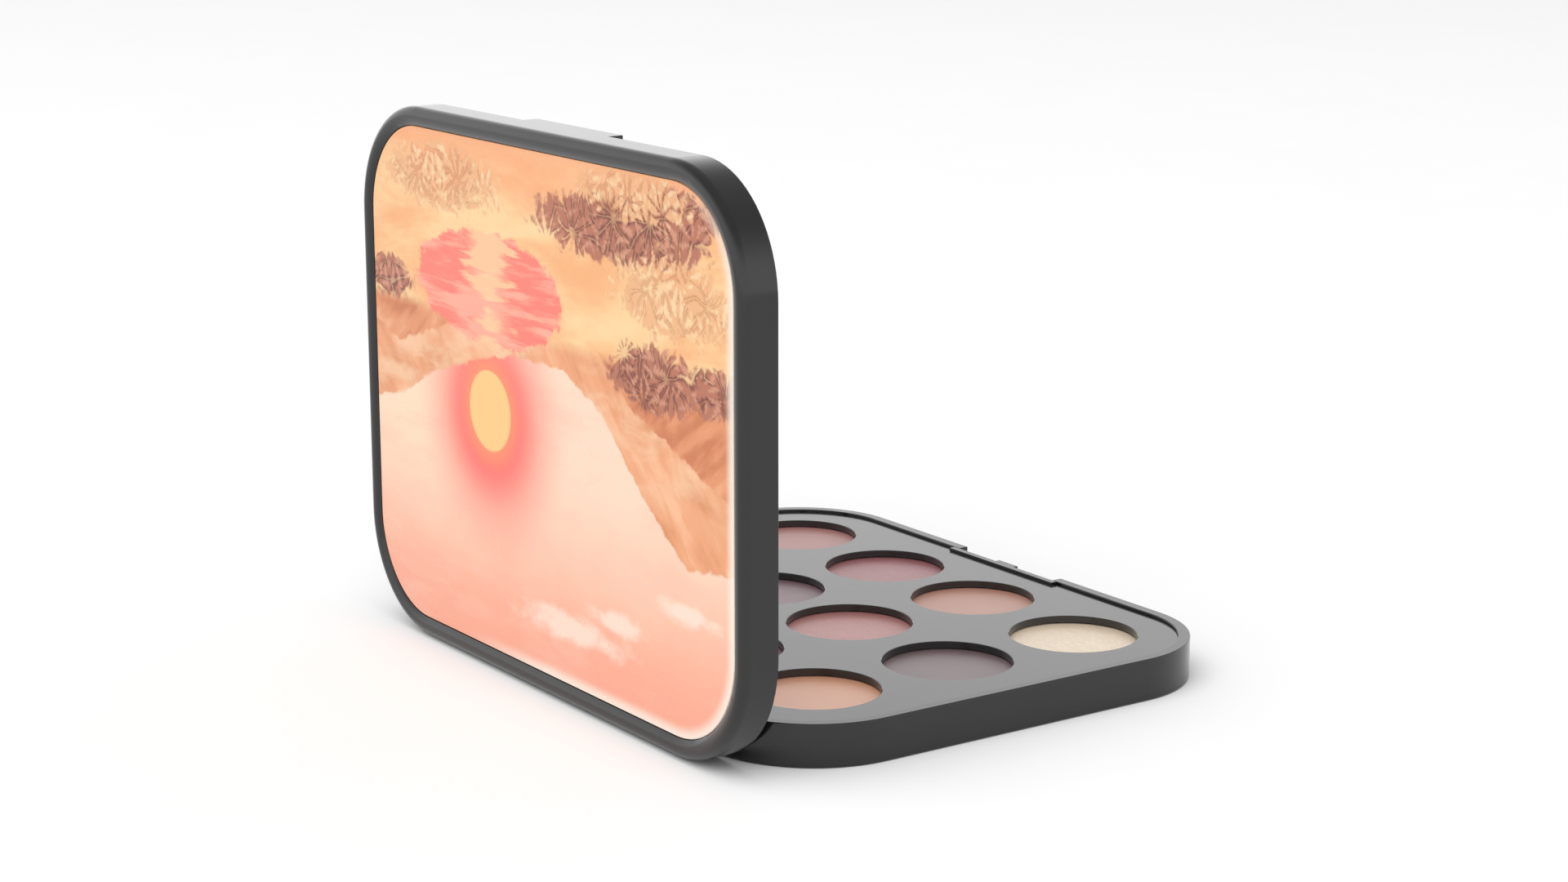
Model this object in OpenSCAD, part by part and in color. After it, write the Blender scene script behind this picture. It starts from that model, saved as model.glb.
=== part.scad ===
// Pressed-powder compact with a square lid that opens upright on two pinned hinge arms.
// X runs along the hinge, +Y points to the hinge side, +Z is up.
// The origin is the centre of the casing's flat underside, and the lid is drawn open.

/* [Case] */
// Width of the closed case, along the hinge
case_w = 125; // [124:0.5:132]
// Depth of the closed case, front to back
case_d = 97.2; // [96:0.2:102]
// Corner radius of the case seen from above
case_corner_r = 20.5; // [18:0.5:21]
// Height of the base casing
base_h = 7.5; // [7.3:0.1:8.5]
// Thickness of the outer walls at the rims
wall_t = 2.1; // [2:0.05:2.3]
// Thickness of the base floor
floor_t = 1.2; // [1:0.1:1.4]
// Width of the step inside the base wall that carries the tray
tray_ledge_w = 1.2; // [0.9:0.1:1.4]
// Radius on the lower outside edge of the base
foot_edge_r = 0.4; // [0.3:0.1:0.6]
// Radius on the rim edges
rim_edge_r = 0.15; // [0.1:0.05:0.2]

/* [Tray and pans] */
// Distance between the two middle columns of pans
middle_pitch = 27; // [26.8:0.1:27.6]
// Distance from a middle column of pans to the outer one
outer_pitch = 28.6; // [27.6:0.1:29]
// Distance between the rows of pans
row_pitch = 28; // [27.5:0.1:28.2]
// Diameter of the round windows in the tray
window_d = 22.6; // [20:0.1:24]
// Depth of the tray face below the base rim
tray_recess = 0.5; // [0.4:0.1:0.8]
// Thickness of the tray
tray_t = 1.2; // [1:0.1:1.4]
// Chamfer on the tray's upper edges
tray_edge = 0.12; // [0.08:0.02:0.2]
// Outside diameter of a pan
pan_d = 26; // [25:0.1:26.2]
// Thickness of the pan's metal
pan_t = 0.35; // [0.25:0.05:0.5]
// Depth of the powder face below the tray face
powder_recess = 1.45; // [1.4:0.05:1.8]
// Thickness of the adhesive pad under a pan
pan_pad_t = 0.25; // [0.15:0.05:0.4]
// Diameter of the adhesive pad under a pan
pan_pad_d = 14; // [8:1:20]

/* [Lid] */
// Thickness of the lid
lid_h = 6.7; // [6.6:0.05:7.5]
// Opening angle of the lid as drawn, 0 when closed
lid_open = 90; // [0:1:90]
// Width of the rounded frame around the printed panel
bead_w = 3.35; // [3.2:0.05:3.6]
// Radius on the outer side of the frame
bead_outer_r = 1.6; // [1.4:0.1:1.8]
// Radius of the slope that falls from the frame's crest to the panel
bead_inner_r = 2.6; // [2.4:0.1:3]
// Thickness of the printed panel
panel_t = 1; // [0.8:0.1:1.1]
// Thickness of the adhesive sheet behind the panel
panel_glue_t = 0.15; // [0.1:0.05:0.2]
// Gap around the printed panel
panel_gap = 0.12; // [0.08:0.02:0.2]
// Thickness of the lid's main web
web_t = 1.2; // [1:0.1:1.3]
// Depth of the mirror surround below the lid rim
surround_recess = 0.9; // [0.7:0.1:1]
// Width of the mirror surround
surround_w = 6.4; // [5.5:0.1:8]
// Thickness of the mirror glass
mirror_t = 1.4; // [1:0.1:1.5]
// Depth of the mirror face below its surround
mirror_recess = 0.25; // [0.1:0.05:0.4]
// Thickness of the adhesive sheet behind the mirror
mirror_glue_t = 0.2; // [0.1:0.05:0.25]

/* [Latch] */
// Width of the notch in the front rim
notch_w = 28.4; // [24:0.2:34]
// Depth of the notch from the front face
notch_depth = 2.2; // [2:0.1:2.3]
// Height of the notch below the rim
notch_h = 4; // [3.6:0.1:4.5]
// Thickness of the wall behind the notch
notch_wall_t = 1.2; // [1:0.1:1.4]
// Length of the lid's tongue below the rim
tongue_l = 2.7; // [2.4:0.1:3]
// Thickness of the lid's tongue
tongue_t = 1.9; // [1.7:0.05:1.9]
// Width of the catch in the notch
catch_w = 5.4; // [4:0.2:8]
// How far the catch stands out of the notch wall
catch_out = 1.05; // [0.9:0.05:1.15]
// Height of the catch
catch_h = 1.3; // [1:0.1:1.5]

/* [Hinge] */
// Distance of each hinge arm from the middle
arm_x = 28; // [26:0.5:30]
// Width of a hinge arm
arm_w = 12; // [8:1:13]
// Radius of the arm's knuckle, and half the arm's thickness
knuckle_r = 2; // [1.8:0.05:2.1]
// Diameter of a hinge pin
pin_d = 1.5; // [1.2:0.1:1.8]
// Length of pin held in the base on each side of an arm
boss_l = 3.2; // [2.6:0.1:3.6]
// Gap between the open lid's rim and the back of the base
open_gap = 0.65; // [0.6:0.05:0.9]
// Height of the open lid above the ground
lid_ground_gap = 0.4; // [0.3:0.05:0.6]

/* [Underside] */
// Width of the blank label
label_w = 84; // [60:1:90]
// Depth of the blank label, front to back
label_d = 30; // [20:1:32]
// Distance of the label's middle behind the case's middle
label_y = 24; // [22:1:26]
// Depth of the recess that the label lies in
label_recess = 0.3; // [0.2:0.05:0.4]
// Thickness of the label
label_t = 0.12; // [0.08:0.02:0.16]

/* [Hidden] */
$fn = 96;
// Small fit between pieces that are pressed or glued together
fit = 0.05;
// Free gap round moving pieces
slack = 0.25;
// Gap between the rims when the lid is shut
closed_gap = 0.1;
// Running clearance of a pin in its knuckle, and its seat in the base
pin_run = 0.05;
pin_seat = 0.01;
// Overrun of a cutting shape past the face that it cuts
past = 1;
// How far joined shapes run into each other
overlap = 0.25;

// Hinge axis: it carries the rim plane from upright behind the base to flat on top of it
pivot_z = (lid_ground_gap + base_h + closed_gap - open_gap) / 2;
pivot_y = case_d / 2 + lid_ground_gap - pivot_z;
lid_rim_z = base_h + closed_gap;

// Inside of the base
inner_w = case_w - 2 * wall_t;
inner_d = case_d - 2 * wall_t;
inner_r = case_corner_r - wall_t;
tray_top = base_h - tray_recess;
tray_under = tray_top - tray_t;
notch_back_y = -case_d / 2 + notch_depth;
notch_floor_z = base_h - notch_h;
notch_inner_y = notch_back_y + notch_wall_t;
notch_block_w = notch_w + 2 * notch_wall_t;

// Four columns and three rows of pans, with the corner pans near the middle of the case's corners
outer_x = middle_pitch / 2 + outer_pitch;
column_x = [-outer_x, -middle_pitch / 2, middle_pitch / 2, outer_x];
row_y = [-row_pitch, 0, row_pitch];
// Heights in the base, from the floor up
pan_bottom = floor_t + pan_pad_t;
pan_top = tray_under - fit;
powder_top = tray_top - powder_recess;
powder_gap = 0.02;
powder_d = pan_d - 2 * (pan_t + powder_gap);
powder_bevel = 0.2;
seat_gap = 0.2;
seat_ring_d = pan_d + 2 * seat_gap;
seat_ring_t = 0.5;
seat_ring_h = 0.8;
post_d = 4;
label_corner_r = 3;

// Inside of the lid, as heights above the lid's rim plane
panel_face = lid_h - bead_inner_r + sqrt(pow(bead_inner_r, 2) - pow(bead_w - bead_outer_r, 2));
web_top = panel_face - panel_t - panel_glue_t;
web_under = web_top - web_t;
surround_top = web_under - fit;
panel_edge_r = 0.2;
panel_glue_margin = 1;
mirror_back = surround_recess + mirror_recess + mirror_t;
mirror_margin = wall_t + fit + surround_w;
mirror_w = case_w - 2 * mirror_margin;
mirror_d = case_d - 2 * mirror_margin;
mirror_r = case_corner_r - mirror_margin;
mirror_edge = 0.3;
mirror_glue_margin = 3;

// Latch
latch_side_gap = 0.4;
tongue_w = notch_w - 2 * latch_side_gap;
pocket_w = catch_w + 2 * latch_side_gap;
pocket_gap = 0.3;
pocket_depth = tongue_t - notch_depth + catch_out + pocket_gap;
pocket_lip_h = 0.5;
catch_face_y = notch_back_y - catch_out;
// Room for the lip, which swings a little inwards as it rises past the catch
lip_gap = 0.12;
catch_lead_in = [0.08, 0.12];
catch_under_slope = 0.5;

// Hinge
pin_l = arm_w + 2 * slack + 2 * boss_l;
slot_w = arm_w + 2 * slack;
slot_front_y = pivot_y - knuckle_r - slack;
stop_gap = 0.03;
stop_z = pivot_z - knuckle_r - stop_gap;
stop_front_y = pivot_y + 0.7 * knuckle_r;
boss_front_y = pivot_y - 1.3 * knuckle_r;
// The base's top back edge swings past the lid's back wall, inside this radius
sweep_gap = 0.2;
sweep_r = norm([case_d / 2 - pivot_y, base_h - pivot_z]) + sweep_gap;
// Round the corner the edge curves away, so the relief narrows until it has left the lid's rim
corner_x = case_w / 2 - case_corner_r;
relief_end_x = corner_x + 0.8 * case_corner_r;
relief_end_drop = 0.3;
relief_end_r = lid_rim_z - pivot_z - relief_end_drop;

// Middles between neighbouring places
function between(places) = [for (i = [1 : len(places) - 1]) (places[i - 1] + places[i]) / 2];

// ---- outlines and sweeps ----

// Rectangle with round corners, centred
module rounded_rect(w, d, r) {
  square([w - 2 * r, d], center = true);
  square([w, d - 2 * r], center = true);
  for (sx = [-1, 1], sy = [-1, 1])
    translate([sx * (w / 2 - r), sy * (d / 2 - r)])
      circle(r);
}

// Flat plate with round corners, from one height to another
module plate(w, d, r, z0, z1) {
  translate([0, 0, z0])
    linear_extrude(z1 - z0)
      rounded_rect(w, d, r);
}

// Carries a section round a rounded rectangle: its x is the distance from the corner centres'
// line, so x = r is the outer face, and its y is the height
module sweep_round(w, d, r) {
  for (turn = [0 : 3]) {
    along_y = turn % 2 == 0;
    out = (along_y ? w : d) / 2 - r;
    run = (along_y ? d : w) - 2 * r;
    rotate(90 * turn)
      translate([out, 0, 0]) {
        rotate([90, 0, 0])
          linear_extrude(run, center = true)
            children();
        translate([0, run / 2, 0])
          rotate_extrude(angle = 90)
            children();
      }
  }
}

// Plate whose edge follows the section that it is given
module edged_plate(w, d, r, z0, z1) {
  core = [w / 2 - r + overlap, d / 2 - r + overlap];
  block([-core[0], -core[1], z0], [core[0], core[1], z1]);
  sweep_round(w, d, r)
    children();
}

// What a rounding takes off a square corner at the origin that points to -x and -y
module corner_waste(r) {
  difference() {
    translate([-past, -past])
      square(past + r);
    translate([r, r])
      circle(r, $fn = 32);
  }
}

// Block from one corner to the other
module block(low, high) {
  translate(low)
    cube(high - low);
}

// Rod along X, centred on x
module rod_x(x, length, r) {
  translate([x - length / 2, pivot_y, pivot_z])
    rotate([0, 90, 0])
      cylinder(r = r, h = length);
}

// The lid is drawn shut, then turned about the hinge axis
module opened() {
  translate([0, pivot_y, pivot_z])
    rotate([-lid_open, 0, 0])
      translate([0, -pivot_y, -pivot_z])
        children();
}

// Height above the lid's rim plane, with the lid shut
module on_lid() {
  translate([0, 0, lid_rim_z])
    children();
}

// ---- base ----

module base_wall_section() {
  inner_x = case_corner_r - wall_t;
  difference() {
    union() {
      translate([inner_x, 0])
        square([wall_t, base_h]);
      translate([inner_x - tray_ledge_w, 0])
        square([tray_ledge_w, tray_under]);
    }
    translate([case_corner_r, 0])
      mirror([1, 0])
        corner_waste(foot_edge_r);
    translate([case_corner_r, base_h])
      mirror([1, 0])
        mirror([0, 1])
          corner_waste(rim_edge_r);
    translate([inner_x, base_h])
      mirror([0, 1])
        corner_waste(rim_edge_r);
  }
}

module pan_seat_rings() {
  for (x = column_x, y = row_y)
    translate([x, y, floor_t - past])
      difference() {
        cylinder(d = seat_ring_d + 2 * seat_ring_t, h = seat_ring_h + past);
        cylinder(d = seat_ring_d, h = seat_ring_h + 2 * past);
      }
}

module tray_posts() {
  for (x = between(column_x), y = between(row_y))
    translate([x, y, floor_t - fit])
      cylinder(d = post_d, h = tray_under - floor_t + fit);
}

module hinge_bosses() {
  for (side = [-1, 1], end = [-1, 1]) {
    x = side * arm_x + end * (slot_w + boss_l) / 2;
    block(
      [x - boss_l / 2, boss_front_y, floor_t - fit],
      [x + boss_l / 2, case_d / 2 - wall_t, tray_under]
    );
  }
}

module hinge_stops() {
  for (side = [-1, 1])
    block(
      [side * arm_x - slot_w / 2 - fit, stop_front_y, floor_t - fit],
      [side * arm_x + slot_w / 2 + fit, case_d / 2, stop_z]
    );
}

module latch_catch() {
  translate([-catch_w / 2, 0, 0])
    rotate([90, 0, 90])
      linear_extrude(catch_w)
        polygon([
          [notch_back_y + fit, base_h],
          [catch_face_y + catch_lead_in[0], base_h],
          [catch_face_y, base_h - catch_lead_in[1]],
          [catch_face_y, base_h - catch_h + catch_under_slope],
          [notch_back_y, base_h - catch_h],
          [notch_back_y + fit, base_h - catch_h]
        ]);
}

module base_casing() {
  color("#2b2b2c")
    difference() {
      union() {
        difference() {
          union() {
            sweep_round(case_w, case_d, case_corner_r)
              base_wall_section();
            plate(inner_w - tray_ledge_w, inner_d - tray_ledge_w, inner_r - tray_ledge_w / 2, 0, floor_t);
            // wall that steps inwards behind the notch
            block(
              [-notch_block_w / 2, notch_back_y, 0],
              [notch_block_w / 2, notch_inner_y, base_h]
            );
            pan_seat_rings();
            tray_posts();
            hinge_bosses();
          }
          // notch for the lid's tongue
          block(
            [-notch_w / 2, -case_d / 2 - past, notch_floor_z],
            [notch_w / 2, notch_back_y, base_h + past]
          );
          // slots for the hinge arms
          for (side = [-1, 1])
            block(
              [side * arm_x - slot_w / 2, slot_front_y, floor_t],
              [side * arm_x + slot_w / 2, case_d / 2 + past, base_h + past]
            );
        }
        hinge_stops();
        latch_catch();
      }
      for (side = [-1, 1])
        rod_x(side * arm_x, pin_l + 2 * past, pin_d / 2 + pin_seat);
      plate_label(label_recess, fit);
    }
}

// The label's outline, grown by a margin, from below the underside up to a height
module plate_label(top, margin) {
  translate([0, label_y, 0])
    plate(label_w + 2 * margin, label_d + 2 * margin, label_corner_r + margin,
          top - label_recess - past, top);
}

module underside_label() {
  color("#c9c9cb")
    intersection() {
      plate_label(label_recess, -fit);
      block([-case_w / 2, -case_d / 2, label_recess - label_t], [case_w / 2, case_d / 2, base_h]);
    }
}

// Outline of the tray, drawn in from the base's inner walls and the cut-outs
module tray_outline(shrink) {
  difference() {
    rounded_rect(inner_w - 2 * shrink, inner_d - 2 * shrink, inner_r - shrink);
    translate([-notch_block_w / 2 - shrink, -case_d / 2])
      square([notch_block_w + 2 * shrink, notch_inner_y + case_d / 2 + shrink]);
    for (side = [-1, 1])
      translate([side * arm_x - slot_w / 2 - shrink + fit, slot_front_y - shrink + fit])
        square([slot_w + 2 * shrink - 2 * fit, case_d / 2]);
  }
}

module pan_tray() {
  color("#3a3a3b")
    difference() {
      union() {
        translate([0, 0, tray_under + fit / 2])
          linear_extrude(tray_t - tray_edge - fit / 2)
            tray_outline(fit);
        translate([0, 0, tray_top - tray_edge - fit])
          linear_extrude(tray_edge + fit)
            tray_outline(fit + tray_edge);
      }
      for (x = column_x, y = row_y)
        translate([x, y, 0]) {
          translate([0, 0, tray_under - past])
            cylinder(d = window_d, h = tray_t + 2 * past);
          translate([0, 0, tray_top - tray_edge])
            cylinder(d1 = window_d, d2 = window_d + 4 * tray_edge, h = 2 * tray_edge);
        }
    }
}

module pan(i, j) {
  color("#b9b9ba")
    translate([column_x[i], row_y[j], 0])
      difference() {
        translate([0, 0, pan_bottom])
          cylinder(d = pan_d, h = pan_top - pan_bottom);
        translate([0, 0, pan_bottom + pan_t])
          cylinder(d = pan_d - 2 * pan_t, h = pan_top);
      }
}

module powder(i, j, shade) {
  color(shade)
    translate([column_x[i], row_y[j], 0]) {
      translate([0, 0, pan_bottom + pan_t])
        cylinder(d = powder_d, h = powder_top - powder_bevel - pan_bottom - pan_t);
      translate([0, 0, powder_top - powder_bevel])
        cylinder(d1 = powder_d, d2 = powder_d - 2 * powder_bevel, h = powder_bevel);
    }
}

module pan_adhesive_pads() {
  color("#e8e6df")
    for (x = column_x, y = row_y)
      translate([x, y, floor_t])
        cylinder(d = pan_pad_d, h = pan_pad_t);
}

module hinge_pin(side) {
  color("#c4c4c6")
    rod_x(side * arm_x, pin_l, pin_d / 2);
}

// ---- lid, drawn shut ----

module lid_wall_section() {
  inner_x = case_corner_r - wall_t;
  window_x = case_corner_r - bead_w;
  crest_x = case_corner_r - bead_outer_r;
  difference() {
    union() {
      translate([inner_x, 0])
        square([wall_t, lid_h - bead_outer_r]);
      translate([window_x, web_under])
        square([bead_w, lid_h - bead_outer_r - web_under]);
      // outer quarter of the bead
      intersection() {
        translate([crest_x, lid_h - bead_outer_r])
          circle(bead_outer_r);
        translate([crest_x, web_under])
          square([bead_outer_r, lid_h]);
      }
      // inner slope of the bead
      intersection() {
        translate([crest_x, lid_h - bead_inner_r])
          circle(bead_inner_r);
        translate([window_x, web_under])
          square([crest_x - window_x, lid_h]);
      }
    }
    translate([case_corner_r, 0])
      mirror([1, 0])
        corner_waste(rim_edge_r);
    translate([inner_x, 0])
      corner_waste(rim_edge_r);
  }
}

// Room for the base's top back edge as the lid turns
module hinge_relief() {
  rod_x(0, 2 * corner_x, sweep_r);
  for (side = [-1, 1])
    translate([side * corner_x, pivot_y, pivot_z])
      rotate([0, side * 90, 0])
        cylinder(r1 = sweep_r, r2 = relief_end_r, h = relief_end_x - corner_x);
}

module hinge_arm(side) {
  x = side * arm_x;
  difference() {
    union() {
      rod_x(x, arm_w, knuckle_r);
      block(
        [x - arm_w / 2, pivot_y - knuckle_r, pivot_z],
        [x + arm_w / 2, pivot_y + knuckle_r, lid_rim_z + web_under + fit]
      );
    }
    rod_x(x, arm_w + 2 * past, pin_d / 2 + pin_run);
  }
}

module latch_tongue() {
  front = -case_d / 2;
  tip = lid_rim_z - tongue_l;
  root = lid_rim_z + 2 * overlap;
  difference() {
    block([-tongue_w / 2, front, tip], [tongue_w / 2, front + tongue_t, root]);
    // pocket for the catch, closed below by a lip that swings just clear of it
    block(
      [-pocket_w / 2, front + tongue_t - pocket_depth, tip + pocket_lip_h],
      [pocket_w / 2, front + tongue_t + past, lid_rim_z]
    );
    block(
      [-pocket_w / 2, catch_face_y - lip_gap, tip - past],
      [pocket_w / 2, front + tongue_t + past, tip + pocket_lip_h + past]
    );
  }
}

module lid_shell() {
  web_w = case_w - 2 * wall_t;
  web_d = case_d - 2 * wall_t;
  color("#2b2b2c")
    opened() {
      difference() {
        on_lid() {
          sweep_round(case_w, case_d, case_corner_r)
            lid_wall_section();
          plate(web_w, web_d, case_corner_r - wall_t, web_under, web_top);
        }
        hinge_relief();
      }
      for (side = [-1, 1])
        hinge_arm(side);
      latch_tongue();
    }
}

module printed_panel() {
  margin = bead_w + panel_gap;
  r = case_corner_r - margin;
  color("#f0a070")
    opened()
      on_lid()
        edged_plate(case_w - 2 * margin, case_d - 2 * margin, r, panel_face - panel_t, panel_face)
          difference() {
            translate([0, panel_face - panel_t])
              square([r, panel_t]);
            translate([r, panel_face])
              mirror([1, 0])
                mirror([0, 1])
                  corner_waste(panel_edge_r);
          }
}

module panel_adhesive() {
  margin = bead_w + panel_glue_margin;
  color("#e8e6df")
    opened()
      on_lid()
        plate(case_w - 2 * margin, case_d - 2 * margin, case_corner_r - margin,
              web_top, web_top + panel_glue_t);
}

module mirror_surround() {
  margin = wall_t + fit;
  color("#2f2f30")
    opened()
      difference() {
        on_lid()
          difference() {
            plate(case_w - 2 * margin, case_d - 2 * margin, case_corner_r - margin,
                  surround_recess, surround_top);
            plate(mirror_w + 2 * fit, mirror_d + 2 * fit, mirror_r + fit,
                  surround_recess - past, mirror_back + mirror_glue_t);
          }
        hinge_relief();
        for (side = [-1, 1])
          block(
            [side * arm_x - arm_w / 2 - fit, pivot_y - knuckle_r - fit, lid_rim_z - past],
            [side * arm_x + arm_w / 2 + fit, case_d / 2, lid_rim_z + lid_h]
          );
      }
}

module mirror_glass() {
  face = surround_recess + mirror_recess;
  color("#cfd6da")
    opened()
      on_lid()
        edged_plate(mirror_w, mirror_d, mirror_r, face, mirror_back)
          polygon([
            [0, face],
            [mirror_r - mirror_edge, face],
            [mirror_r, face + mirror_edge],
            [mirror_r, mirror_back],
            [0, mirror_back]
          ]);
}

module mirror_adhesive() {
  margin = mirror_glue_margin;
  color("#e8e6df")
    opened()
      on_lid()
        plate(mirror_w - 2 * margin, mirror_d - 2 * margin, mirror_r - margin,
              mirror_back, mirror_back + mirror_glue_t);
}

// ---- nodes: pan rows run a to c from front to back, columns 1 to 4 from right to left ----

base_casing();
pan_tray();
underside_label();
pan_adhesive_pads();
hinge_pin(-1);  // hinge_pin_left
hinge_pin(1);  // hinge_pin_right
lid_shell();
printed_panel();
panel_adhesive();
mirror_surround();
mirror_glass();  // mirror
mirror_adhesive();
pan(3, 0);  // pan_a1
pan(2, 0);  // pan_a2
pan(1, 0);  // pan_a3
pan(0, 0);  // pan_a4
pan(3, 1);  // pan_b1
pan(2, 1);  // pan_b2
pan(1, 1);  // pan_b3
pan(0, 1);  // pan_b4
pan(3, 2);  // pan_c1
pan(2, 2);  // pan_c2
pan(1, 2);  // pan_c3
pan(0, 2);  // pan_c4
powder(3, 0, "#c8a3a0");  // powder_a1
powder(2, 0, "#b99196");  // powder_a2
powder(1, 0, "#cdac9e");  // powder_a3
powder(0, 0, "#e8d7be");  // powder_a4
powder(3, 1, "#b08f98");  // powder_b1
powder(2, 1, "#a09196");  // powder_b2
powder(1, 1, "#cda09e");  // powder_b3
powder(0, 1, "#968a8c");  // powder_b4
powder(3, 2, "#8f6a72");  // powder_c1
powder(2, 2, "#c58f86");  // powder_c2
powder(1, 2, "#a07d82");  // powder_c3
powder(0, 2, "#deb49b");  // powder_c4
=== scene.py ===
import math

import bpy
import numpy as np
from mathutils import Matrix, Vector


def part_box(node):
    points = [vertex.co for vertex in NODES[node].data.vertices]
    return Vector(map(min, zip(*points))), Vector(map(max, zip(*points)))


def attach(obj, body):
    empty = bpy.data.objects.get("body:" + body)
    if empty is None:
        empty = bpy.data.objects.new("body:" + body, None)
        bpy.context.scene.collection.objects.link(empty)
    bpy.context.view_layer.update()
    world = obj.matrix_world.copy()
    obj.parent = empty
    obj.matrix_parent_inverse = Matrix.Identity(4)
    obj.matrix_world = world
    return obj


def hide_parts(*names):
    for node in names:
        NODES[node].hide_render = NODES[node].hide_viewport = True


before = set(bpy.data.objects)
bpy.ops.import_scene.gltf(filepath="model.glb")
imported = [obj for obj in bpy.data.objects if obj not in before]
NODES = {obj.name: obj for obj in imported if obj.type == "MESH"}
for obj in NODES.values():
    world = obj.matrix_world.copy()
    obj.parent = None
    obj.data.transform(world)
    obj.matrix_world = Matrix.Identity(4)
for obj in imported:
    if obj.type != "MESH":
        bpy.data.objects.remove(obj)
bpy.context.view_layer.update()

MM = 0.001

# Camera, in metres and degrees in the row frame
CAMERA_AT = (-0.4343, 0.3067, 0.1592)
CAMERA_HEADING = -34.80
CAMERA_TILT = -12.88
LENS_MM = 69.49
SENSOR_MM = 36
CLIP = (0.01, 50)

# Studio: surroundings that are brighter up to WALL_TOP degrees than above CEILING_EDGE degrees, and a
# wide soft lamp above that shows in no reflection
WALL_LIGHT = 1.42
CEILING_LIGHT = 0.5
WALL_TOP = 16
CEILING_EDGE = 52
LAMP_LIGHT = 2.8
LAMP_RADIUS = 4.0
LAMP_AT = (-1.2, 2.6, 5.0)
FLOOR_SIZE = 6.0
FLOOR_DROP = 0.02 * MM
FLOOR_TONES = (0.66, 0.68)

# Sharp edges: the cosine between the true and the rounded normal where wear starts and is full
EDGE_COSINES = (0.99, 0.86)

# Powder meshes: the rings crowd towards the rim, which is rounded, and the top swells in long waves
POWDER_RINGS = 44
POWDER_SPOKES = 128
RING_CROWDING = 0.8
POWDER_EDGE = 0.25 * MM
EDGE_DROP = 0.8
SWELL_WAVES = 10
SWELL_LENGTHS = (1.6, 7.0)
MATTE_SWELL = 0.010
PEARL_SWELL = 0.022

# Powder looks: the darkest and palest tone as shares of the shade, the spark colour, and in
# millimetres the pitch of the linen press mark and the size of a spark
DEEP = 0.80
PALE = 1.12
SPARK_COLOUR = (1.0, 0.95, 0.9, 1.0)
WEAVE_PITCH = 0.42
SPARK_WIDTH = 0.16

# Printed panel: how much light the print gives back, how much white its gloss adds, its darkest ink,
# and the radius of its corners in millimetres
PRINT_LIGHT = 1.42
PRINT_VEIL = 0.04
PRINT_DARKEST = 0.004
PANEL_CORNER = 17.03

# The picture, in millimetres from the panel's middle, as (u, v): v runs up the picture, and u to the
# left as one sees it the right way up. A patch is given as its middle and its reach.
SUN = (-17.0, 2.0)
SUN_RADIUS = 7.15
SUN_RIM = 0.25
HALO_V = 3.0
WATER_V = -19.5
FROND_BEND = 3.5
FAR_CREST = [
    (-60, 7), (-48, 4), (-38, -1), (-22, -6), (-8, -9), (8, -9), (20, -4), (33, 8), (46, 17), (60, 15),
]
NEAR_CREST = [
    (-60, -8), (-50, -5), (-37, -9), (-20, -15), (0, -19), (16, -16), (30, -6), (42, -2), (60, 5),
]
CLOUDS = [
    ((10.0, 35.0), (13.0, 2.2)),
    ((24.0, 30.5), (7.0, 1.6)),
    ((44.0, 24.0), (8.0, 1.5)),
]
DARK_GRASS = [
    ((26.0, -35.0), (25.0, 5.5)),
    ((44.0, -39.0), (11.0, 5.0)),
    ((36.0, -12.5), (13.0, 5.5)),
    ((53.0, -13.0), (8.0, 4.0)),
    ((-53.0, -17.0), (9.0, 4.0)),
]
PALE_GRASS = [
    ((-33.0, -37.0), (21.0, 6.0)),
    ((43.0, -26.0), (17.0, 6.5)),
    ((30.0, -41.0), (17.0, 4.0)),
]

# The shades: colour, and how much pearl is in the powder
SHADES = {
    "a1": ("#94615c", 0.0),
    "a2": ("#894e51", 0.8),
    "a3": ("#a07160", 0.0),
    "a4": ("#cbb8a0", 0.7),
    "b1": ("#815057", 0.6),
    "b2": ("#674b53", 0.0),
    "b3": ("#a26764", 0.8),
    "b4": ("#5d484a", 0.0),
    "c1": ("#66373f", 0.0),
    "c2": ("#98564d", 0.7),
    "c3": ("#784b52", 0.7),
    "c4": ("#c98f70", 0.0),
}


def ink(code):
    """Linear RGBA of an sRGB colour written as #rrggbb."""
    channels = [int(code[i : i + 2], 16) / 255 for i in (1, 3, 5)]
    linear = [c / 12.92 if c <= 0.04045 else ((c + 0.055) / 1.055) ** 2.4 for c in channels]
    return (*linear, 1.0)


# ---- node graphs ----


class Field:
    """A value that varies over a surface. Arithmetic on it adds Math nodes."""

    def __init__(self, graph, socket):
        self.graph = graph
        self.socket = socket

    def __add__(self, other):
        return self.graph.math("ADD", self, other)

    __radd__ = __add__

    def __sub__(self, other):
        return self.graph.math("SUBTRACT", self, other)

    def __rsub__(self, other):
        return self.graph.math("SUBTRACT", other, self)

    def __mul__(self, other):
        return self.graph.math("MULTIPLY", self, other)

    __rmul__ = __mul__

    def __truediv__(self, other):
        return self.graph.math("DIVIDE", self, other)


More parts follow.
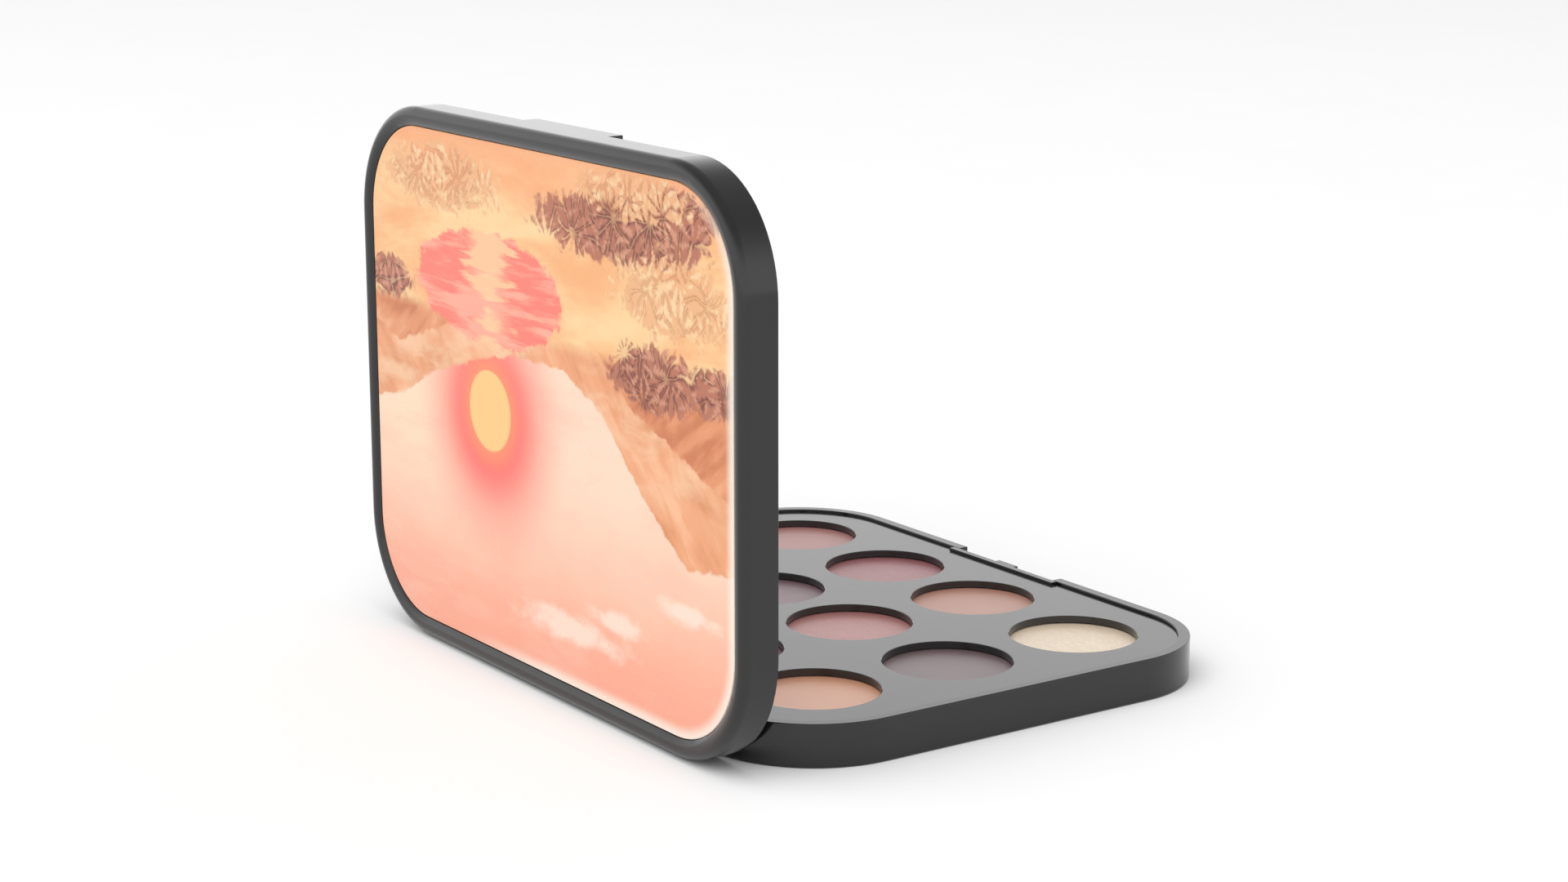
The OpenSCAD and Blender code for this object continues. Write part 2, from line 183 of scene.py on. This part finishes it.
class Graph:
    """One material with a Principled shader."""

    def __init__(self, name, **constants):
        self.material = bpy.data.materials.new(name)
        self.material.use_nodes = True
        self.tree = self.material.node_tree
        self.tree.nodes.clear()
        self.shader = self.node("ShaderNodeBsdfPrincipled")
        output = self.node("ShaderNodeOutputMaterial")
        self.tree.links.new(self.shader.outputs[0], output.inputs["Surface"])
        for socket, value in constants.items():
            self.feed(socket.replace("_", " "), value)

    def node(self, kind, **settings):
        made = self.tree.nodes.new(kind)
        for key, value in settings.items():
            setattr(made, key, value)
        return made

    def put(self, socket, value):
        if isinstance(value, Field):
            self.tree.links.new(value.socket, socket)
        else:
            socket.default_value = value

    def feed(self, socket, value):
        self.put(self.shader.inputs[socket], value)

    def math(self, operation, *values):
        made = self.node("ShaderNodeMath", operation=operation)
        for socket, value in zip(made.inputs, values):
            self.put(socket, value)
        return Field(self, made.outputs[0])

    def high(self, a, b):
        return self.math("MAXIMUM", a, b)

    def size(self, x):
        return self.math("ABSOLUTE", x)

    def length(self, x, y):
        return self.math("SQRT", x * x + y * y)

    def step(self, x, start, end):
        """0 where x is before start, 1 past end, and smooth between them."""
        made = self.node("ShaderNodeMapRange", interpolation_type="SMOOTHSTEP")
        self.put(made.inputs["Value"], x)
        self.put(made.inputs["From Min"], start)
        self.put(made.inputs["From Max"], end)
        return Field(self, made.outputs[0])

    def vector(self, x, y, z=0.0):
        made = self.node("ShaderNodeCombineXYZ")
        for socket, value in zip(made.inputs, (x, y, z)):
            self.put(socket, value)
        return Field(self, made.outputs[0])

    def parts(self, vector):
        made = self.node("ShaderNodeSeparateXYZ")
        self.put(made.inputs[0], vector)
        return [Field(self, s) for s in made.outputs]

    def place(self):
        """Object coordinates in millimetres."""
        coordinates = self.node("ShaderNodeTexCoord")
        made = self.node("ShaderNodeVectorMath", operation="SCALE")
        made.inputs["Scale"].default_value = 1 / MM
        self.tree.links.new(coordinates.outputs["Object"], made.inputs[0])
        return Field(self, made.outputs[0])

    def noise(self, at, grain, detail=2.0, rough=0.5, twist=0.0, seed=0.0):
        """Noise from 0 to 1 whose patches are about grain millimetres wide."""
        made = self.node("ShaderNodeTexNoise", noise_dimensions="4D")
        self.put(made.inputs["Vector"], at)
        made.inputs["W"].default_value = seed
        made.inputs["Scale"].default_value = 1 / grain
        made.inputs["Detail"].default_value = detail
        made.inputs["Roughness"].default_value = rough
        made.inputs["Distortion"].default_value = twist
        return Field(self, made.outputs["Fac"])

    def cells(self, at, width):
        """Voronoi node whose cells are about width millimetres wide."""
        made = self.node("ShaderNodeTexVoronoi", voronoi_dimensions="3D")
        self.put(made.inputs["Vector"], at)
        made.inputs["Scale"].default_value = 1 / width
        return made

    def mix(self, mask, a, b):
        made = self.node("ShaderNodeMix", data_type="RGBA")
        self.put(made.inputs[0], mask)
        self.put(made.inputs[6], a)
        self.put(made.inputs[7], b)
        return Field(self, made.outputs[2])

    def profile(self, x, points):
        """Height over x along straight lines between (x, height) points."""
        xs, heights = zip(*points)
        x0, span_x = xs[0], xs[-1] - xs[0]
        h0, span_h = min(heights), max(heights) - min(heights)
        made = self.node("ShaderNodeFloatCurve")
        curve = made.mapping.curves[0]
        while len(curve.points) < len(points):
            curve.points.new(0.5, 0.5)
        for point, (px, h) in zip(curve.points, points):
            point.location = ((px - x0) / span_x, (h - h0) / span_h)
            point.handle_type = "VECTOR"
        made.mapping.update()
        self.put(made.inputs["Value"], (x - x0) / span_x)
        return Field(self, made.outputs[0]) * span_h + h0

    def edge(self, radius):
        """1 on sharp edges and 0 on flat faces, over a width in millimetres."""
        bevel = self.node("ShaderNodeBevel", samples=4)
        bevel.inputs["Radius"].default_value = radius * MM
        geometry = self.node("ShaderNodeNewGeometry")
        made = self.node("ShaderNodeVectorMath", operation="DOT_PRODUCT")
        self.tree.links.new(bevel.outputs[0], made.inputs[0])
        self.tree.links.new(geometry.outputs["Normal"], made.inputs[1])
        return self.step(Field(self, made.outputs["Value"]), *EDGE_COSINES)

    def bump(self, height, depth):
        """Relief: a field from 0 to 1 becomes a height of depth millimetres."""
        made = self.node("ShaderNodeBump")
        made.inputs["Strength"].default_value = 1.0
        made.inputs["Distance"].default_value = depth * MM
        self.put(made.inputs["Height"], height)
        self.tree.links.new(made.outputs[0], self.shader.inputs["Normal"])


# ---- materials of the case ----


def moulded_plastic(name, dark, light, worn, relief, ior):
    """Charcoal plastic with polished edges and a fine moulded grain, whose relief is in millimetres."""
    g = Graph(name, IOR=ior)
    at = g.place()
    grain = g.noise(at, 0.18, detail=2.0, rough=0.6)
    cloud = g.noise(at, 14.0, detail=3.0)
    scuff = g.step(g.noise(at, 3.0, detail=4.0, rough=0.7, twist=0.6, seed=2.0), 0.56, 0.75)
    edge = g.edge(0.25)
    g.feed("Base Color", g.mix(edge * 0.5, g.mix(cloud, ink(dark), ink(light)), ink(worn)))
    g.feed("Roughness", 0.08 + 0.05 * cloud + 0.05 * grain + 0.04 * scuff - 0.06 * edge)
    g.bump(grain, relief)
    return g.material


def mirror_glass():
    """Silvered glass with the faintest haze and wipe marks."""
    g = Graph("mirror_glass", Metallic=1.0)
    at = g.place()
    haze = g.noise(at, 22.0, detail=3.0, twist=0.8)
    x, y, z = g.parts(at)
    wipe = g.noise(g.vector(x * 0.12, y, z), 1.6, detail=3.0, rough=0.65, seed=4.0)
    g.feed("Base Color", g.mix(haze, ink("#eef1f1"), ink("#e4e9ea")))
    g.feed("Roughness", 0.012 + 0.02 * g.step(wipe, 0.52, 0.8) + 0.012 * haze)
    return g.material


def pressed_metal():
    """Thin pan metal with drawing marks."""
    g = Graph("pan_metal", Metallic=1.0)
    at = g.place()
    x, y, z = g.parts(at)
    marks = g.noise(g.vector(x * 0.2, y * 0.2, z * 6), 0.8, detail=3.0)
    g.feed("Base Color", g.mix(marks, ink("#6c6d6e"), ink("#828384")))
    g.feed("Roughness", 0.28 + 0.14 * marks)
    g.bump(marks, 0.003)
    return g.material


def ground_steel():
    """Hinge pin steel, ground round its axis."""
    g = Graph("pin_steel", Metallic=1.0, Anisotropic=0.4)
    at = g.place()
    x, y, z = g.parts(at)
    rings = g.noise(g.vector(x * 12, y * 0.4, z * 0.4), 1.0, detail=3.0)
    g.feed("Base Color", g.mix(rings, ink("#a5a6a8"), ink("#c6c7c9")))
    g.feed("Roughness", 0.24 + 0.12 * rings)
    g.bump(rings, 0.002)
    return g.material


def adhesive_film():
    """Double-sided tape."""
    g = Graph("adhesive", Roughness=0.6)
    at = g.place()
    fibre = g.noise(at, 0.5, detail=4.0, rough=0.7)
    g.feed("Base Color", g.mix(fibre, ink("#dedbd0"), ink("#efede6")))
    g.bump(fibre, 0.02)
    return g.material


def label_paper():
    """Blank label: dark coated paper with fibres."""
    g = Graph("label_paper")
    at = g.place()
    x, y, z = g.parts(at)
    fibre = g.noise(g.vector(x * 0.35, y, z), 0.35, detail=4.0, rough=0.7)
    cloud = g.noise(at, 9.0, detail=3.0, seed=3.0)
    g.feed("Base Color", g.mix(0.6 * fibre + 0.4 * cloud, ink("#4a4a4b"), ink("#626263")))
    g.feed("Roughness", 0.55 + 0.2 * fibre)
    g.bump(fibre, 0.012)
    return g.material


# ---- powders ----


def pressed_powder(shade, colour, pearl, seed):
    """Pressed powder: a fine linen press mark, and in the pearl shades streaks with sparks."""
    g = Graph("powder_" + shade, IOR=2.1, Sheen_Weight=0.15, Sheen_Roughness=0.3)
    at = g.place()
    x, y, z = g.parts(at)
    base = ink(colour)
    deep = (*[DEEP * c for c in base[:3]], 1.0)
    pale = (*[min(1.0, PALE * c) for c in base[:3]], 1.0)
    dust = g.noise(at, 0.22, detail=3.0, rough=0.7, seed=seed)
    cloud = g.noise(at, 5.0, detail=4.0, seed=seed + 1)
    warp = g.math("SINE", x * (math.tau / WEAVE_PITCH))
    weft = g.math("SINE", y * (math.tau / WEAVE_PITCH))
    weave = 0.5 + 0.25 * warp + 0.25 * weft
    if pearl:
        drawn = g.vector(x * 0.45 + y * 0.2, y - x * 0.1, z)
        streaks = g.noise(drawn, 0.85, detail=5.0, rough=0.65, twist=1.4, seed=seed + 2)
        veil = g.step(streaks, 0.36, 0.66)
        spark = Field(g, g.cells(at, SPARK_WIDTH).outputs["Distance"])
        glint = g.step(spark, 0.32, 0.12) * g.step(g.noise(at, 0.5, seed=seed + 3), 0.5, 0.66)
        tone = g.mix(0.35 * dust + 0.65 * veil, deep, pale)
        g.feed("Base Color", g.mix(0.5 * glint, tone, SPARK_COLOUR))
        g.feed("Metallic", 0.35 * pearl * veil + 0.2 * glint)
        g.feed("Roughness", 0.38 - 0.06 * veil + 0.06 * dust)
        g.bump(0.4 * dust + 0.6 * streaks, 0.022)
    else:
        g.feed("Base Color", g.mix(0.35 * dust + 0.35 * cloud + 0.3 * weave, deep, pale))
        g.feed("Roughness", 0.37 + 0.08 * dust)
        g.bump(0.55 * weave + 0.45 * dust, 0.024)
    return g.material


def powder_mesh(shade, pearl, seed):
    """Closed cake of powder: a flat press mark, a rounded rim and shallow unevenness on top."""
    low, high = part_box("powder_" + shade)
    radius = (high.x - low.x) / 2
    middle = (low + high) / 2
    rng = np.random.default_rng(seed)
    spokes = np.arange(POWDER_SPOKES) * math.tau / POWDER_SPOKES
    share = np.linspace(0, 1, POWDER_RINGS + 1)[1:] ** RING_CROWDING
    reach = np.outer(share * radius, np.ones(POWDER_SPOKES))
    x = reach * np.cos(spokes)
    y = reach * np.sin(spokes)
    height = np.full_like(x, high.z)
    inset = radius - reach
    rounding = np.clip(1 - inset / POWDER_EDGE, 0, 1)
    height -= POWDER_EDGE * (1 - np.sqrt(1 - rounding**2)) * EDGE_DROP
    amplitude = (MATTE_SWELL + PEARL_SWELL * pearl) * MM
    for _ in range(SWELL_WAVES):
        turn = rng.uniform(0, math.tau)
        wave = math.tau / (rng.uniform(*SWELL_LENGTHS) * MM)
        phase = rng.uniform(0, math.tau)
        swell = np.sin(wave * (x * math.cos(turn) + y * math.sin(turn)) + phase)
        height -= amplitude * (1 + swell) / SWELL_WAVES
    top = np.stack([x + middle.x, y + middle.y, height], -1).reshape(-1, 3)
    foot = top[-POWDER_SPOKES:].copy()
    foot[:, 2] = low.z
    centre_top = [[middle.x, middle.y, height[0].mean()]]
    centre_foot = [[middle.x, middle.y, low.z]]
    points = np.concatenate([centre_top, top, foot, centre_foot])
    last = len(points) - 1
    faces = []
    for k in range(POWDER_SPOKES):
        n = (k + 1) % POWDER_SPOKES
        faces.append((0, 1 + k, 1 + n))
        for ring in range(POWDER_RINGS):
            a = 1 + ring * POWDER_SPOKES
            b = a + POWDER_SPOKES
            faces.append((a + k, b + k, b + n, a + n))
        a = 1 + POWDER_RINGS * POWDER_SPOKES
        faces.append((last, a + n, a + k))
    mesh = bpy.data.meshes.new("cake_" + shade)
    mesh.from_pydata(points.tolist(), [], faces)
    mesh.polygons.foreach_set("use_smooth", np.ones(len(mesh.polygons), bool))
    mesh.update()
    cake = bpy.data.objects.new("cake_" + shade, mesh)
    bpy.context.scene.collection.objects.link(cake)
    return cake


def add_powders():
    for seed, (shade, (colour, pearl)) in enumerate(SHADES.items(), start=1):
        cake = powder_mesh(shade, pearl, seed)
        cake.data.materials.append(pressed_powder(shade, colour, pearl, 10.0 * seed))
        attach(cake, "base")
        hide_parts("powder_" + shade)


# ---- printed panel ----


def print_ink(code):
    """Printed colour that shows as this one under the studio light and the panel's gloss."""
    shown = [(c - PRINT_VEIL) / PRINT_LIGHT for c in ink(code)[:3]]
    return (*[max(c, PRINT_DARKEST) for c in shown], 1.0)


def blob(g, u, v, middle, reach, ragged, soft=0.4):
    """Patch: 1 well inside an ellipse and 0 outside it, with a ragged border."""
    du = (u - middle[0]) / reach[0]
    dv = (v - middle[1]) / reach[1]
    return g.step(g.length(du, dv) + ragged, 1.0 + soft / 2, 1.0 - soft / 2)


def patches(g, u, v, places, ragged, soft):
    """The greatest of several blobs, each given as its middle and its reach."""
    whole = blob(g, u, v, *places[0], ragged, soft)
    for middle, reach in places[1:]:
        whole = g.high(whole, blob(g, u, v, middle, reach, ragged, soft))
    return whole


def slopes(g, u, v, lean, tones, seed):
    """Hillside in three printed tones: broad folds with finer streaks that run down the slope."""
    along = u * lean[0] + v * lean[1]
    across = v * lean[0] - u * lean[1]
    folds = g.noise(g.vector(along * 0.45, across, seed), 9.0, detail=2.0, rough=0.5, twist=1.0)
    streaks = g.noise(g.vector(along * 0.2, across, seed), 2.4, detail=5.0, rough=0.65, twist=0.6)
    relief = 0.62 * folds + 0.38 * streaks
    tone = g.mix(g.step(relief, 0.38, 0.53), print_ink(tones[0]), print_ink(tones[1]))
    return g.mix(g.step(relief, 0.52, 0.66), tone, print_ink(tones[2]))


def tufts(g, u, v, width, fronds, seed):
    """Feathery tufts: barbed fronds that curl out of scattered hearts. Brightness from 0 to 1."""
    bend_u = g.noise(g.vector(u, v, seed), 6.0, detail=1.0) - 0.5
    bend_v = g.noise(g.vector(u, v, seed + 31.0), 6.0, detail=1.0) - 0.5
    bent_u = u + FROND_BEND * bend_u
    bent_v = v + FROND_BEND * bend_v
    made = g.cells(g.vector(bent_u, bent_v, seed), width)
    middle_u, middle_v, _ = g.parts(Field(g, made.outputs["Position"]))
    turn, bright, _ = g.parts(Field(g, made.outputs["Color"]))
    du = (bent_u - middle_u) / width
    dv = (bent_v - middle_v) / width
    away = g.length(du, dv)
    angle = g.math("ARCTAN2", dv, du)
    phase = angle * (fronds / math.tau) + away * 1.8 * (turn - 0.5) + turn * 7.0
    off_rib = 2.0 * g.math("PINGPONG", phase, 0.5)
    barbs = 0.5 + 0.5 * g.math("SINE", away * 46.0 + off_rib * 3.5)
    blade = (1.0 - off_rib) * (0.7 + 0.3 * barbs)
    return blade * g.step(away, 0.0, 0.4) * (0.6 + 0.7 * bright)


def evening_sky(g, u, v, soft, ragged):
    """Peach sky, paler near the ground, with a few small clouds of haze."""
    sky = g.mix(g.step(v + 14 * (soft - 0.5), 40.0, 4.0), print_ink("#ffba9f"), print_ink("#fee0c8"))
    sky = g.mix(0.7 * g.step(v, 26.0, 47.0), sky, print_ink("#fdaa92"))
    warm = blob(g, u, v, (-42.0, 2.0), (30.0, 18.0), 0.0, soft=1.6)
    sky = g.mix(0.6 * warm, sky, print_ink("#ffe3c2"))
    haze = g.noise(g.vector(u * 0.25, v, 3.0), 5.0, detail=4.0, rough=0.55)
    sky = g.mix(0.5 * g.step(haze, 0.46, 0.74), sky, print_ink("#ffcab4"))
    puffs = g.noise(g.vector(u * 0.6, v, 5.0), 3.6, detail=4.0, rough=0.6) - 0.5
    clouds = patches(g, u, v, CLOUDS, 2.4 * puffs + ragged, soft=1.2)
    return g.mix(0.7 * clouds, sky, print_ink("#fff0e0"))


def low_sun(g, u, v, scene):
    """A round low sun in a wide soft coral halo."""
    halo = 0.95 * g.length(u - SUN[0], v - HALO_V)
    scene = g.mix(0.9 * g.step(halo, 27.0, 9.0), scene, print_ink("#ff9486"))
    scene = g.mix(g.step(halo, 17.0, 5.0), scene, print_ink("#ff6b6b"))
    disc = g.length(u - SUN[0], v - SUN[1])
    scene = g.mix(0.6 * g.step(disc, 12.0, 7.0), scene, print_ink("#ffa877"))
    return g.mix(g.step(disc, SUN_RADIUS + SUN_RIM, SUN_RADIUS - SUN_RIM), scene, print_ink("#ffd08c"))


def hills(g, u, v, scene, ragged):
    """Far and near hills on both sides, with mist lying between them."""
    far = g.step(g.profile(u, FAR_CREST) + 3.5 * ragged - v, 0.0, 0.7)
    tones = ("#e39a6f", "#f3ac81", "#ffc49c")
    scene = g.mix(far, scene, slopes(g, u, v, (0.7, 0.7), tones, 1.0))
    mist = g.noise(g.vector(u * 0.4, v, 7.0), 6.0, detail=4.0, rough=0.6, twist=0.4)
    lying = g.step(v, 12.0, 0.0) * g.step(mist, 0.38, 0.64)
    scene = g.mix(0.8 * lying * far, scene, print_ink("#fdd0aa"))
    near = g.step(g.profile(u, NEAR_CREST) + 3.5 * ragged - v, 0.0, 0.7)
    tones = ("#d3855f", "#ea9f75", "#f9bb93")
    return g.mix(near, scene, slopes(g, u, v, (0.8, -0.6), tones, 4.0))


def shore(g, u, v, scene, ragged):
    """Still water that carries the sun's reflection, between two banks of sand."""
    dune = g.noise(g.vector(u * 0.4, v * 1.2, 2.0), 10.0, detail=4.0, rough=0.55, twist=0.5)
    sand = g.mix(g.step(dune, 0.34, 0.66), print_ink("#fbb984"), print_ink("#ffdba6"))
    sand = g.mix(0.7 * g.step(v, -30.0, -46.0), sand, print_ink("#fcb083"))
    ground = g.step(4.0 * ragged - v, 12.0, 15.0)
    scene = g.mix(ground, scene, sand)
    water = blob(g, u, v, (SUN[0], WATER_V), (25.0, 10.0), 0.5 * ragged, soft=0.07)
    ripple = g.noise(g.vector(u * 0.12, v, 6.0), 1.8, detail=4.0, rough=0.55)
    wet = g.mix(g.step(ripple, 0.42, 0.6), print_ink("#ff8a7c"), print_ink("#ffb39c"))
    glint = g.step(g.size(u - SUN[0]) + 34.0 * (ripple - 0.5), 6.5, 2.0)
    wet = g.mix(0.8 * glint, wet, print_ink("#ffd7a8"))
    return g.mix(water, scene, wet)


def grasses(g, u, v, scene, ragged):
    """Dark clumps of feathery grass, and pale ones before them."""
    coarse = tufts(g, u, v, 10.0, 11.0, 1.0)
    fine = tufts(g, u + 3.7, v - 2.9, 7.0, 9.0, 9.0)
    clump = patches(g, u, v, DARK_GRASS, 1.1 * ragged, soft=0.8)
    blades = g.mix(g.step(coarse, 0.05, 0.55), print_ink("#7c4a46"), print_ink("#bf7d66"))
    blades = g.mix(0.7 * g.step(fine, 0.25, 0.8), blades, print_ink("#e2a68a"))
    scene = g.mix(g.step(clump * (0.55 + 1.4 * coarse), 0.3, 0.8), scene, blades)
    clump = patches(g, u, v, PALE_GRASS, 1.3 * ragged, soft=0.9)
    straw = g.mix(g.step(fine, 0.05, 0.5), print_ink("#c58561"), print_ink("#f3ba8c"))
    straw = g.mix(0.8 * g.step(coarse, 0.25, 0.8), straw, print_ink("#ffdfb2"))
    return g.mix(0.9 * g.step(clump * (0.5 + 1.3 * fine), 0.32, 0.85), scene, straw)


def sunset_panel():
    """A generic sunset over water and dunes, upside down on the open lid, under a clear gloss."""
    g = Graph("printed_panel", IOR=1.4)
    x, _, z = g.parts(g.place())
    low, high = (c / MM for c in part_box("printed_panel"))
    middle = (low + high) / 2
    half = (high - low) / 2
    u = middle.x - x
    v = middle.z - z
    at = g.vector(u, v)
    ragged = g.noise(at, 3.2, detail=5.0, rough=0.62) - 0.5
    soft = g.noise(at, 14.0, detail=3.0, seed=5.0)
    scene = evening_sky(g, u, v, soft, ragged)
    scene = low_sun(g, u, v, scene)
    scene = hills(g, u, v, scene, ragged)
    scene = shore(g, u, v, scene, ragged)
    scene = grasses(g, u, v, scene, ragged)

    # painted glow: light painted into the print colour as cream along two borders of the clear panel,
    # stronger towards one side
    past_u = g.high(g.size(u) - (half.x - PANEL_CORNER), 0.0)
    past_v = g.high(g.size(v) - (half.z - PANEL_CORNER), 0.0)
    border = PANEL_CORNER - g.length(past_u, past_v)
    toward = g.step(v * 0.8 + u, 5.0, 40.0)
    scene = g.mix(g.step(border, 2.6, 0.2) * toward * 0.85, scene, print_ink("#fff6e8"))
    g.feed("Base Color", scene)
    g.feed("Roughness", 0.24 + 0.06 * soft)
    g.bump(g.noise(at, 0.6, detail=2.0, seed=9.0), 0.0012)
    return g.material


# ---- dressing the CAD nodes ----


def dress():
    case = moulded_plastic("case_plastic", "#121212", "#171717", "#242424", relief=0.002, ior=1.52)
    tray = moulded_plastic("tray_plastic", "#0f0f0f", "#141414", "#222222", relief=0.005, ior=1.62)
    adhesive = adhesive_film()
    steel = ground_steel()
    looks = {
        "base_casing": case,
        "lid_shell": case,
        "pan_tray": tray,
        "mirror_surround": tray,
        "underside_label": label_paper(),
        "pan_adhesive_pads": adhesive,
        "panel_adhesive": adhesive,
        "mirror_adhesive": adhesive,
        "hinge_pin_left": steel,
        "hinge_pin_right": steel,
        "printed_panel": sunset_panel(),
        "mirror": mirror_glass(),
    }
    pan = pressed_metal()
    looks.update({"pan_" + shade: pan for shade in SHADES})
    for name, material in looks.items():
        slots = NODES[name].data.materials
        slots.clear()
        slots.append(material)


# ---- studio ----


def add_floor():
    half = FLOOR_SIZE / 2
    corners = [(-half, -half), (half, -half), (half, half), (-half, half)]
    mesh = bpy.data.meshes.new("floor")
    mesh.from_pydata([(x, y, -FLOOR_DROP) for x, y in corners], [], [(0, 1, 2, 3)])
    floor = bpy.data.objects.new("floor", mesh)
    bpy.context.scene.collection.objects.link(floor)
    g = Graph("floor_white", Roughness=0.9, Specular_IOR_Level=0.2)
    speck = g.noise(g.place(), 40.0, detail=2.0)
    dark, light = [(tone, tone, tone, 1.0) for tone in FLOOR_TONES]
    g.feed("Base Color", g.mix(speck, dark, light))
    mesh.materials.append(g.material)


def add_light():
    world = bpy.data.worlds.new("studio")
    world.use_nodes = True
    nodes = world.node_tree.nodes
    links = world.node_tree.links
    background = nodes["Background"]
    background.inputs["Color"].default_value = (1.0, 1.0, 1.0, 1.0)
    split = nodes.new("ShaderNodeSeparateXYZ")
    fade = nodes.new("ShaderNodeMapRange")
    fade.interpolation_type = "SMOOTHSTEP"
    fade.inputs["From Min"].default_value = math.sin(math.radians(WALL_TOP))
    fade.inputs["From Max"].default_value = math.sin(math.radians(CEILING_EDGE))
    fade.inputs["To Min"].default_value = WALL_LIGHT
    fade.inputs["To Max"].default_value = CEILING_LIGHT
    links.new(nodes.new("ShaderNodeTexCoord").outputs["Generated"], split.inputs[0])
    links.new(split.outputs["Z"], fade.inputs["Value"])
    links.new(fade.outputs["Result"], background.inputs["Strength"])
    bpy.context.scene.world = world

    lamp = bpy.data.lights.new("lamp", "AREA")
    lamp.shape = "DISK"
    lamp.size = 2 * LAMP_RADIUS
    lamp.energy = LAMP_LIGHT * math.pi * (math.pi * LAMP_RADIUS**2)
    holder = bpy.data.objects.new("lamp", lamp)
    holder.location = LAMP_AT
    holder.rotation_euler = holder.location.to_track_quat("Z", "Y").to_euler()
    holder.visible_glossy = False
    bpy.context.scene.collection.objects.link(holder)


def add_camera():
    camera = bpy.data.cameras.new("camera")
    camera.sensor_width = SENSOR_MM
    camera.lens = LENS_MM
    camera.clip_start, camera.clip_end = CLIP
    holder = bpy.data.objects.new("camera", camera)
    holder.location = CAMERA_AT
    holder.rotation_euler = (math.radians(90 + CAMERA_TILT), 0, math.radians(CAMERA_HEADING - 90))
    bpy.context.scene.collection.objects.link(holder)
    bpy.context.scene.camera = holder


dress()
add_powders()
add_floor()
add_light()
add_camera()
bpy.context.scene.view_settings.view_transform = "Standard"
